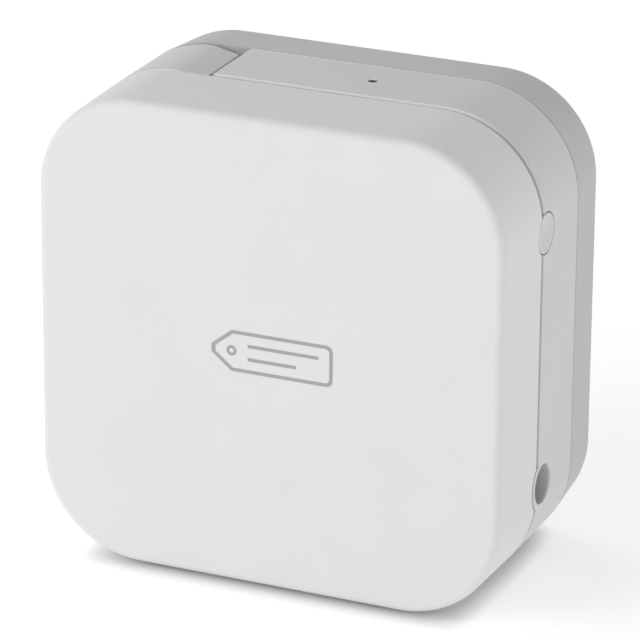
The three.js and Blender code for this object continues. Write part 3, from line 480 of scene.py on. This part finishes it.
FRONT_WHITE = moulded("front_white", (0.700, 0.700, 0.698), (0.684, 0.684, 0.682), (0.78, 0.78, 0.775))
# the band's pale edge colour is mostly a painted highlight along its top edges and seams, with a little
# rubbed wear
BAND_WHITE = moulded("band_white", (0.610, 0.610, 0.608), (0.596, 0.596, 0.594), (0.95, 0.95, 0.94),
                     wear_and_highlight_radius=0.0012)
COVER_GREY = moulded("cover_grey", (0.484, 0.486, 0.488), (0.470, 0.472, 0.475), (0.52, 0.522, 0.524))
PRINT_GREY = moulded("print_grey", (0.360, 0.360, 0.362), (0.335, 0.335, 0.338), None, 0.6)
LINING_WHITE = moulded("lining_white", (0.62, 0.62, 0.618), (0.60, 0.60, 0.598), (0.66, 0.66, 0.655),
                       soften=0.0003)
DARK_GREY = moulded("dark_grey", (0.070, 0.072, 0.076), (0.058, 0.060, 0.064), (0.12, 0.12, 0.125), 0.48,
                    soften=0.0004)
CASSETTE_GREY = moulded("cassette_grey", (0.500, 0.500, 0.485), (0.480, 0.480, 0.465),
                        (0.56, 0.56, 0.545), 0.42, soften=0.0005)
GEAR_CREAM = moulded("gear_cream", (0.72, 0.70, 0.60), (0.69, 0.665, 0.56), (0.76, 0.745, 0.66), 0.36,
                     soften=0.0001)
BLACK = moulded("black_moulding", (0.014, 0.014, 0.015), (0.020, 0.020, 0.021), (0.05, 0.05, 0.052), 0.45,
                soften=0.0002)
RUBBER = moulded("black_rubber_skin", (0.022, 0.022, 0.023), (0.032, 0.032, 0.033),
                 (0.06, 0.06, 0.06), 0.78, 3200.0, 0.00004, specular=0.25)
PAPER = moulded("label_paper", (0.86, 0.86, 0.84), (0.82, 0.82, 0.80), None, 0.38, 1500.0, 0.00001)
# near-black: painted shade so the status light's hole looks dark and deep
LENS_SHADE_BLACK = moulded("shade_black_pipe", (0.004, 0.004, 0.005), (0.007, 0.007, 0.008), None, 0.36, 900.0, 0.00001,
                 specular=0.15)
STEEL = metal("plain_steel", (0.50, 0.51, 0.52), (0.42, 0.43, 0.44), 0.33, (1.0, 8.0, 1.0))
BRASS = metal("plain_brass", (0.62, 0.47, 0.22), (0.54, 0.40, 0.18), 0.30, (1.0, 8.0, 1.0))
ALUMINIUM = metal("plain_aluminium", (0.66, 0.67, 0.68), (0.58, 0.59, 0.60), 0.42, (1.0, 1.0, 6.0))
BOARD = board()
CELL_CAN = cell_can()

SLOT_MATERIALS = {
    "white_plastic": LINING_WHITE,
    "grey_plastic": COVER_GREY,
    "cassette_plastic": CASSETTE_GREY,
    "dark_plastic": DARK_GREY,
    "gear_plastic": GEAR_CREAM,
    "black_plastic": BLACK,
    "black_rubber": RUBBER,
    "circuit_board": BOARD,
    "clear_plastic": LENS_SHADE_BLACK,
    "steel": STEEL,
    "aluminium": ALUMINIUM,
    "brass": BRASS,
    "label_tape": PAPER,
    "cell_sleeve": CELL_CAN,
}
for part in frame["record"]["subparts"]:
    dressed = nodes[part["node"]].data
    dressed.materials.clear()
    dressed.materials.append(SLOT_MATERIALS[part["material_slot"]])


# ---------------------------------------------------------------- front case
def mouth(axis, centre, radius, inner, surface, flare, sides=96):
    """A round cutter whose mouth opens out by the flare where it meets the surface."""
    profile = [(radius, inner), (radius, surface - flare - MOUTH_STRAIGHT), (radius, surface - flare)]
    for i in range(1, SMALL_STEPS + 1):
        angle = math.pi / 2 * i / SMALL_STEPS
        profile.append((radius + flare * (1 - math.cos(angle)), surface - flare * (1 - math.sin(angle))))
    profile.append((radius + flare, surface + PAST))
    return lathe("mouth_tool", profile, axis, centre, sides)


def button_mouth(inner):
    return mouth("X", (BUTTON["y"], BUTTON["z"]), BUTTON["radius"] + BUTTON["gap"], inner, HALF_WIDTH,
                 HOLE_FLARE)


def front_case():
    face = FRONT_Y + PRINT_ROOM
    cavity = FRONT_Y + FRONT_WALL
    fillet = arc(face, FRONT_DRAFT, 1, 1, EDGE_FILLET)
    lip = arc(SEAM[0], 0, -1, 1, SEAM_FRONT_ROUND, SMALL_STEPS)
    stations = [(face, FRONT_DRAFT + EDGE_FILLET + SUPPORT), *fillet,
                (fillet[-1][0] + SUPPORT, FRONT_DRAFT - FRONT_DRAFT_START), (SEAM[0] - SEAM_SUPPORT, 0.0),
                *reversed(lip), (SEAM[0], WALL), (cavity + CAVITY_CHAMFER, FRONT_DRAFT + WALL),
                (cavity, FRONT_DRAFT + WALL + CAVITY_CHAMFER)]
    body = case_skin("front_case_shell", stations)
    collar_mouth = mouth("X", (JACK["y"], JACK["z"]), JACK["collar"] + JACK["gap"], SHELL_INSIDE_X,
                         HALF_WIDTH, JACK["collar_flare"])
    cut(body, button_mouth(SHELL_INSIDE_X), collar_mouth)
    finish_piece(body, FRONT_WHITE, "case", "front_case")


# ---------------------------------------------------------------- middle case
def mid_case():
    body = case_skin("mid_case_shell", mid_case_profile(), closed=True)
    collar = lathe("tool", [(JACK["collar"], JACK["inside"]), (JACK["collar"], JACK["collar_end"])], "X",
                   (JACK["y"], JACK["z"]), 96)
    keep_inside(collar, case_skin("tool", [(y, 0) for y in COLLAR_TRIM_Y]))
    join(body, collar)
    for low, high in LUGS:
        lug = rounded_box("tool", (low[0], LUG_Y[0], low[1]), (high[0], LUG_Y[1], high[1]), LUG_ROUND)
        keep_inside(lug, case_skin("tool", [(y, TRIM_INSET) for y in LUG_TRIM_Y]))
        join(body, lug)
    cut(body, *lever_window(),
        mouth("X", (JACK["y"], JACK["z"]), JACK["bore"], JACK["inside"] - PAST, HALF_WIDTH,
              JACK["bore_flare"]),
        button_mouth(BUTTON["inside"]),
        mouth("Z", (LED["x"], LED["y"]), LED["radius"], LED["bottom"], HEIGHT, LED["flare"], 48))
    finish_piece(body, BAND_WHITE, "case", "mid_case")


def mid_case_profile():
    """The band's closed (y, inset) section: its skin, and a tongue behind and in front."""
    front_lip = arc(SEAM[1], 0, 1, 1, SEAM_BACK_ROUND, 8)
    back_lip = arc(JOINT[0], 0, -1, 1, LIP_FILLET, 4)
    return [(SEAM[1], TONGUE[0]), *front_lip, (SEAM[1] + SEAM_BACK_ROUND + SUPPORT, 0.0),
            (JOINT[0] - SUPPORT, 0.0), *reversed(back_lip), (JOINT[0], TONGUE[0]),
            (TONGUE_BACK[1], TONGUE[0]), (TONGUE_BACK[1], TONGUE[1]),
            (TONGUE_BACK[0], TONGUE[1]), (TONGUE_BACK[0], WALL),
            (TONGUE_FRONT[1], WALL), (TONGUE_FRONT[1], TONGUE[1]),
            (TONGUE_FRONT[0], TONGUE[1]), (TONGUE_FRONT[0], TONGUE[0])]


def lever_window():
    """The three cutters of the lever's window: through the wall, through the skin, and the room inside."""
    right, bottom, top, chamfer = WINDOW["right"], WINDOW["bottom"], WINDOW["top"], WINDOW["chamfer"]
    front, back = LEVER["front"] - LEVER["gap"], WINDOW["back"]
    steps = 5
    turns = [math.pi / 2 * i / steps for i in range(steps + 1)]
    edge = [(right + chamfer * (1 - math.cos(a)), HEIGHT - chamfer * (1 - math.sin(a))) for a in turns]
    skin_line = [(OUTSIDE_X, bottom), (right, bottom), *edge, (right + chamfer, OUTSIDE_Z),
                 (OUTSIDE_X, OUTSIDE_Z)]
    skin_cut = prism("tool", skin_line, SEAM[1] - WINDOW["skin_front"], JOINT[1] + WINDOW["skin_back"])
    wall_inset = WALL + WINDOW["skin_extra"]
    cut(skin_cut, case_skin("tool", [(SEAM[1] - PAST, wall_inset), (JOINT[1] + PAST, wall_inset)]))
    window = prism("tool", [(OUTSIDE_X, bottom), (right, bottom), (right, top), (OUTSIDE_X, top)],
                   front, back)
    room_left, room_right, room_top = right - PAST, WINDOW["room"], HEIGHT - WALL
    room = prism("tool", [(room_left, bottom), (room_right, bottom), (room_right, room_top),
                          (room_left, room_top)], front, back)
    return window, skin_cut, room


# ---------------------------------------------------------------- back cover
def back_cover():
    lip = arc(JOINT[1], 0, 1, 1, LIP_FILLET, 4)
    fillet = arc(BACK_Y, BACK_TAPER, -1, 1, EDGE_FILLET)
    cavity = BACK_Y - WALL
    wall_end = BACK_TAPER * (1 - SUPPORT / (BACK_Y - EDGE_FILLET - JOINT[1]))
    stations = [(BACK_Y, BACK_TAPER + EDGE_FILLET + SUPPORT), *fillet,
                (fillet[-1][0] - SUPPORT, wall_end), (JOINT[1] + LIP_FILLET + SUPPORT, BACK_TAPER_START),
                *reversed(lip), (JOINT[1], WALL), (COVER_STEP_Y, WALL),
                (cavity - CAVITY_CHAMFER, BACK_TAPER + WALL), (cavity, BACK_TAPER + WALL + CAVITY_CHAMFER)]
    body = case_skin("back_cover_shell", stations)
    half, (bottom, top) = COVER_RIBS["half"], COVER_RIBS["z"]
    for x in COVER_RIBS["x"]:
        join(body, rounded_box("tool", (x - half, COVER_RIBS["front"], bottom),
                               (x + half, cavity + COVER_RIBS["sunk"], top), COVER_RIBS["round"]))
    cut(body, scoop())
    finish_piece(body, COVER_GREY, "cover", "back_cover")


def scoop():
    """A round-ended capsule lying along X, which leaves a shallow finger hollow."""
    radius, half = SCOOP["radius"], SCOOP["half"]
    steps = 16
    profile = []
    for i in range(steps + 1):
        angle = math.pi / 2 * i / steps
        profile.append((max(radius * math.sin(angle), POINT_RADIUS), -half - radius * math.cos(angle)))
    profile += [(r, -h) for r, h in reversed(profile)]
    return lathe("tool", profile, "X", (BACK_Y + radius - SCOOP["depth"], SCOOP["z"]), 160)


# ---------------------------------------------------------------- cutter lever
def bezier(points, t):
    a, b, c, d = points
    s = 1 - t
    return tuple(s ** 3 * p + 3 * s * s * t * q + 3 * s * t * t * r + t ** 3 * w
                 for p, q, r, w in zip(a, b, c, d))


def lever_curves():
    """The lever's outer and inner lines in X and Z, from its lower left edge to its free end."""
    outer, inner = CORNER_RADIUS, CORNER_RADIUS - LEVER["thickness"]
    flush_x = LEVER["flush_x"]
    flush = math.acos((flush_x + CORNER_X) / outer)
    flush_z = CORNER_TOP + outer * math.sin(flush)
    inner_flush = math.acos((flush_x + CORNER_X) / inner)
    under_z = CORNER_TOP + inner * math.sin(inner_flush)
    roll = LEVER_END["roll"]
    roll_x = LEVER["end_x"] - roll
    end_top = HEIGHT - LEVER_END["sunk"]
    end_under = end_top - LEVER_END["thickness"]

    top = [(-HALF_WIDTH, LEVER["bottom"])]
    under = [(-HALF_WIDTH + LEVER["thickness"], LEVER["bottom"])]
    turns = LEVER_STEPS["corner"]
    for i in range(turns + 1):
        angle = math.pi + (flush - math.pi) * i / turns
        top.append((-CORNER_X + outer * math.cos(angle), CORNER_TOP + outer * math.sin(angle)))
        angle = math.pi + (inner_flush - math.pi) * i / turns
        under.append((-CORNER_X + inner * math.cos(angle), CORNER_TOP + inner * math.sin(angle)))

    near, far = LEVER_SWEEP["top_x"]
    top_sweep = [(flush_x, flush_z), (near, HEIGHT), (far, end_top + LEVER_SWEEP["top_rise"]),
                 (roll_x, end_top)]
    near, far = LEVER_SWEEP["under_x"]
    under_sweep = [(flush_x, under_z), (near, under_z), (far, end_under + LEVER_SWEEP["under_rise"]),
                   (roll_x, end_under)]
    steps = LEVER_STEPS["sweep"]
    for i in range(1, steps + 1):
        top.append(bezier(top_sweep, i / steps))
        under.append(bezier(under_sweep, i / steps))

    steps = LEVER_STEPS["roll"]
    for i in range(1, steps + 1):
        angle = math.pi / 2 * i / steps
        x = roll_x + roll * math.sin(angle)
        top.append((x, end_top - roll * (1 - math.cos(angle))))
        under.append((x, end_under))
    return top, under


def lever_ring(outer, inner):
    """One section across the lever: over the top from front to back, then back underneath."""
    (tx, tz), (ux, uz) = outer, inner
    front, back = LEVER["front"], LEVER["back"]
    reach = max(0.0, (tx - LEVER["flush_x"]) / (LEVER["end_x"] - LEVER["flush_x"]))
    rim = LEVER["rim"] + LEVER["rim_growth"] * reach
    way = Vector((tx - ux, tz - uz)).normalized()
    ring = []
    for i in range(LEVER_STEPS["across"] + 1):
        share = i / LEVER_STEPS["across"]
        edge = min(share, 1 - share) * (back - front)
        short = max(rim - edge, 0)
        drop = rim - math.sqrt(max(rim ** 2 - short ** 2, 0))
        hollow = LEVER["dish"] * reach * reach * math.sin(math.pi * share) ** LEVER["dish_shape"]
        sink = drop + hollow
        ring.append((tx - way.x * sink, front + (back - front) * share, tz - way.y * sink))
    return ring + [(ux, back, uz), (ux, front, uz)]


def cutter_lever():
    body = skin("cutter_lever_shell", [lever_ring(outer, inner) for outer, inner in zip(*lever_curves())])
    pivot_x, pivot_z = LEVER_PIVOT
    radius, bore, chamfer = LEVER_HUB["radius"], LEVER_HUB["bore"], LEVER_HUB["chamfer"]
    hub_front, hub_back = LEVER_HUB["y"]
    plate_line = [(pivot_x - radius, pivot_z), *LEVER_PLATE_LINE, (pivot_x + radius, pivot_z)]
    for y0, y1 in LEVER_PLATES:
        plate = prism("tool", plate_line, y0, y1)
        keep_inside(plate, case_skin("tool", [(y0 - PAST, TRIM_INSET), (y1 + PAST, TRIM_INSET)]))
        join(body, plate)
    hub = [(radius - chamfer, hub_front), (radius, hub_front + chamfer),
           (radius, hub_back - chamfer), (radius - chamfer, hub_back)]
    join(body, lathe("tool", hub, "Y", LEVER_PIVOT, 48))
    cut(body, lathe("tool", [(bore, hub_front - PAST), (bore, hub_back + PAST)], "Y", LEVER_PIVOT, 48))
    finish_piece(body, BAND_WHITE, "lever", "cutter_lever")


# ---------------------------------------------------------------- button, cells, lens, feet, printed tag
def power_button():
    radius, dish, rim, surface = BUTTON["radius"], BUTTON["dish"], BUTTON["rim"], HALF_WIDTH
    flange = radius + BUTTON["flange"]
    flange_bottom, flange_top = surface - BUTTON["flange_bottom"], surface - BUTTON["flange_top"]
    profile = [(BUTTON["stem_radius"], surface - BUTTON["stem_end"]),
               (BUTTON["stem_radius"], flange_bottom), (flange, flange_bottom), (flange, flange_top),
               (radius, flange_top), (radius, surface - rim - BUTTON["rim_straight"])]
    rim_top = surface - BUTTON["rim_below"]
    for i in range(SMALL_STEPS + 1):
        angle = math.pi / 2 * i / SMALL_STEPS
        profile.append((radius - rim * (1 - math.cos(angle)), rim_top - rim * (1 - math.sin(angle))))
    curve = (radius ** 2 / dish + dish) / 2
    inner = radius - rim - BUTTON["rim_land"]
    steps = 14
    for i in range(steps + 1):
        r = inner * (1 - i / steps) + BUTTON["centre"]
        sag = math.sqrt(curve ** 2 - r ** 2) - math.sqrt(curve ** 2 - inner ** 2)
        profile.append((r, surface - BUTTON["dish_below"] - sag))
    body = lathe("power_button_cap", profile, "X", (BUTTON["y"], BUTTON["z"]), 96)
    finish_piece(body, BAND_WHITE, "button", "power_button")


def cad_box(name):
    """The low and high corners of a CAD node, in mm."""
    return [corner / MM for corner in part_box(name)]


def battery_cells():
    """Round cells with crimped shoulders and a contact nub, in a printed sleeve."""
    shoulder, nub = CELL["shoulder"], CELL["nub"]
    for i in range(1, CELL["count"] + 1):
        low, high = cad_box(f"battery_cell_{i}")
        middle = (low + high) / 2
        radius = (high.z - low.z) / 2 - CELL["clearance"]
        end_x = high.x - CELL["nub_height"]
        turns = [math.pi / 2 * j / SMALL_STEPS for j in range(SMALL_STEPS + 1)]
        profile = [(radius - shoulder * (1 - math.sin(a)), low.x + shoulder * (1 - math.cos(a)))
                   for a in turns]
        profile += [(radius - shoulder * (1 - math.cos(a)), end_x - shoulder * (1 - math.sin(a)))
                    for a in turns]
        profile += [(nub, end_x - CELL["nub_root"]), (nub, high.x - CELL["nub_side"]),
                    (nub - CELL["nub_round"], high.x), (CELL["nub_centre"], high.x)]
        body = lathe(f"cell_{i}_can", profile, "X", (middle.y, middle.z), 56)
        finish_piece(body, CELL_CAN, "cells", f"battery_cell_{i}")


def led_lens():
    """A near-black lens over the light pipe, painted shade for its dark hole, slightly domed and just under
    the case's surface.
    """
    radius, dome, top = LED["radius"] - LENS["gap"], LENS["dome"], HEIGHT - LENS["below"]
    stem_bottom, stem_top = LENS["stem"]
    profile = [(LENS["stem_radius"], stem_bottom), (LENS["stem_radius"], stem_top), (radius, stem_top),
               (radius, top - dome)]
    steps = 5
    for i in range(1, steps + 1):
        share = i / steps
        profile.append((max(radius * (1 - share), POINT_RADIUS), top - dome * (1 - share) ** 2))
    body = lathe("led_lens", profile, "Z", (LED["x"], LED["y"]), 40)
    finish_piece(body, LENS_SHADE_BLACK, "case", "led_light_pipe")


def rubber_feet():
    edge = FOOT["round"]
    ease_in, ease_up = FOOT["ease"]
    for i in range(1, FOOT["count"] + 1):
        low, high = cad_box(f"rubber_foot_{i}")
        middle = (low + high) / 2
        radius = (high.x - low.x) / 2
        profile = [(radius - edge, low.z), (radius - ease_in, low.z + ease_up), (radius, low.z + edge),
                   (radius, high.z)]
        body = lathe(f"foot_pad_{i}", profile, "Z", (middle.x, middle.y), 64)
        finish_piece(body, RUBBER, "case", f"rubber_foot_{i}")


def tag_line(inset):
    """The tag's outline in X and Z, moved inwards by inset: a blunt nose and two rounded corners."""
    left, right = TAG["x"]
    low, high = TAG["z"]
    middle, blunt = (low + high) / 2, TAG["blunt"]
    tip_x = left + inset * TAG_INSET["tip_x"]
    tip_z = inset * TAG_INSET["tip_z"]
    nose_x = left + TAG["nose"] + inset * TAG_INSET["nose_x"]
    radius = TAG["turn"] - inset * TAG_INSET["turn"]
    points = [(tip_x, middle + blunt - tip_z), (nose_x, high - inset)]
    corner_x = right - inset - radius
    turns = 8
    for corner_z, start in ((high - inset - radius, 90), (low + inset + radius, 0)):
        for i in range(turns + 1):
            a = math.radians(start - 90 * i / turns)
            points.append((corner_x + radius * math.cos(a), corner_z + radius * math.sin(a)))
    points += [(nose_x, low + inset), (tip_x, middle - blunt + tip_z)]
    return points


def tag_mark():
    """A plain label tag printed on the front: an outline, an eyelet and two lines."""
    front, back = FRONT_Y + TAG["front"], FRONT_Y + PRINT_ROOM + TAG["sunk"]
    middle = sum(TAG["z"]) / 2
    mark = prism("front_tag_mark", tag_line(0), front, back)
    cut(mark, prism("tool", tag_line(TAG["stroke"]), front - PAST, back + PAST))
    outer, inner = TAG["eyelet"]
    centre = (TAG["x"][0] + TAG["nose"], middle)
    eyelet = lathe("tool", [(outer, front), (outer, back)], "Y", centre, 40)
    cut(eyelet, lathe("tool", [(inner, front - PAST), (inner, back + PAST)], "Y", centre, 40))
    half = TAG["line"]
    lines = []
    for start, end, rise in TAG_LINES:
        low, high = middle + rise - half, middle + rise + half
        lines.append(prism("tool", [(start, low), (end, low), (end, high), (start, high)], front, back))
    join(mark, eyelet, *lines)
    finish_piece(mark, PRINT_GREY, "case")


front_case()
mid_case()
back_cover()
cutter_lever()
power_button()
rubber_feet()
battery_cells()
led_lens()
tag_mark()

# ---------------------------------------------------------------- floor, light and camera
AIM = Vector((0.0, 0.0, 0.0582))
CAMERA = {"azimuth": 23.573, "elevation": 21.302, "distance": 1.0328, "roll": 0.385, "lens": 250.9}
AIM_DROP = 0.00172

FLOOR_RADIUS = 4.0
FLOOR_SIDES = 96
FLOOR_GLOW = 0.355
FLOOR_COLOUR = 0.92
FLOOR_ROUGHNESS = 0.9
CONTACT = {"reach": 0.0065, "samples": 12, "shut": 0.4, "open": 0.93}
HORIZON_LIGHT = 1.37
SENSOR_WIDTH = 36.0
CLIP = (0.05, 20.0)
LIGHT_SIZE = 1.2
# azimuth and elevation in degrees, distance in metres, power in watts
LIGHTS = {
    "key_light": (-40, 30, 1.6, 7.6),
    "top_light": (0, 85, 1.5, 1.6),
    "back_right_light": (150, 50, 1.5, 1.1),
    "back_left_light": (-120, 50, 1.5, 2.6),
}


def look(azimuth, elevation):
    a, e = math.radians(azimuth), math.radians(elevation)
    return Vector((math.sin(a) * math.cos(e), -math.cos(a) * math.cos(e), math.sin(e)))


def area_light(name, azimuth, elevation, distance, energy):
    data = bpy.data.lights.new(name, "AREA")
    data.shape = "DISK"
    data.size = LIGHT_SIZE
    data.energy = energy
    made = bpy.data.objects.new(name, data)
    scene.collection.objects.link(made)
    back = look(azimuth, elevation)
    made.location = AIM + back * distance
    made.rotation_mode = "QUATERNION"
    made.rotation_quaternion = (-back).to_track_quat("-Z", "Y")


def floor():
    turns = [2 * math.pi * i / FLOOR_SIDES for i in range(FLOOR_SIDES)]
    points = [(FLOOR_RADIUS * math.cos(a), FLOOR_RADIUS * math.sin(a), 0) for a in turns]
    made = add_mesh("studio_floor", points, [tuple(range(FLOOR_SIDES))])
    material, tree, bsdf = shader("studio_white")
    bsdf.inputs["Base Color"].default_value = (FLOOR_COLOUR, FLOOR_COLOUR, FLOOR_COLOUR, 1)
    bsdf.inputs["Roughness"].default_value = FLOOR_ROUGHNESS
    bsdf.inputs["Specular IOR Level"].default_value = 0.0
    bsdf.inputs["Emission Color"].default_value = (1, 1, 1, 1)
    # the floor's glow fades where a piece stands close over it, so the contact stays shaded
    contact = tree.nodes.new("ShaderNodeAmbientOcclusion")
    contact.samples = CONTACT["samples"]
    contact.inputs["Distance"].default_value = CONTACT["reach"]
    tree.links.new(ramp(tree, contact.outputs["AO"], CONTACT["shut"], CONTACT["open"], 0.0, FLOOR_GLOW),
                   bsdf.inputs["Emission Strength"])
    made.data.materials.append(material)


def world():
    made = bpy.data.worlds.new("studio")
    scene.world = made
    made.use_nodes = True
    tree = made.node_tree
    tree.nodes.clear()
    out = tree.nodes.new("ShaderNodeOutputWorld")
    light = node(tree, "ShaderNodeBackground", Color=(1, 1, 1, 1))
    # the sky fades from the horizon to the zenith
    way = tree.nodes.new("ShaderNodeTexCoord")
    split = tree.nodes.new("ShaderNodeSeparateXYZ")
    tree.links.new(way.outputs["Generated"], split.inputs[0])
    tree.links.new(ramp(tree, split.outputs["Z"], 0.0, 1.0, HORIZON_LIGHT, 0.0), light.inputs["Strength"])
    backdrop = node(tree, "ShaderNodeBackground", Color=(1, 1, 1, 1), Strength=1.0)
    path = tree.nodes.new("ShaderNodeLightPath")
    choose = tree.nodes.new("ShaderNodeMixShader")
    tree.links.new(path.outputs["Is Camera Ray"], choose.inputs[0])
    tree.links.new(light.outputs[0], choose.inputs[1])
    tree.links.new(backdrop.outputs[0], choose.inputs[2])
    tree.links.new(choose.outputs[0], out.inputs["Surface"])


def camera():
    back = look(CAMERA["azimuth"], CAMERA["elevation"])
    a, r = math.radians(CAMERA["azimuth"]), math.radians(CAMERA["roll"])
    level = Vector((math.cos(a), math.sin(a), 0))
    rise = back.cross(level)
    right = level * math.cos(r) + rise * math.sin(r)
    up = rise * math.cos(r) - level * math.sin(r)
    data = bpy.data.cameras.new("camera")
    data.lens = CAMERA["lens"]
    data.sensor_width = SENSOR_WIDTH
    data.clip_start, data.clip_end = CLIP
    made = bpy.data.objects.new("camera", data)
    scene.collection.objects.link(made)
    place = AIM + back * CAMERA["distance"] - up * AIM_DROP
    turn = Matrix((right, up, back)).transposed().to_4x4()
    made.matrix_world = Matrix.Translation(place) @ turn
    scene.camera = made


scene.view_settings.view_transform = "Standard"
scene.view_settings.look = "None"
floor()
world()
camera()
for light_name, setting in LIGHTS.items():
    area_light(light_name, *setting)
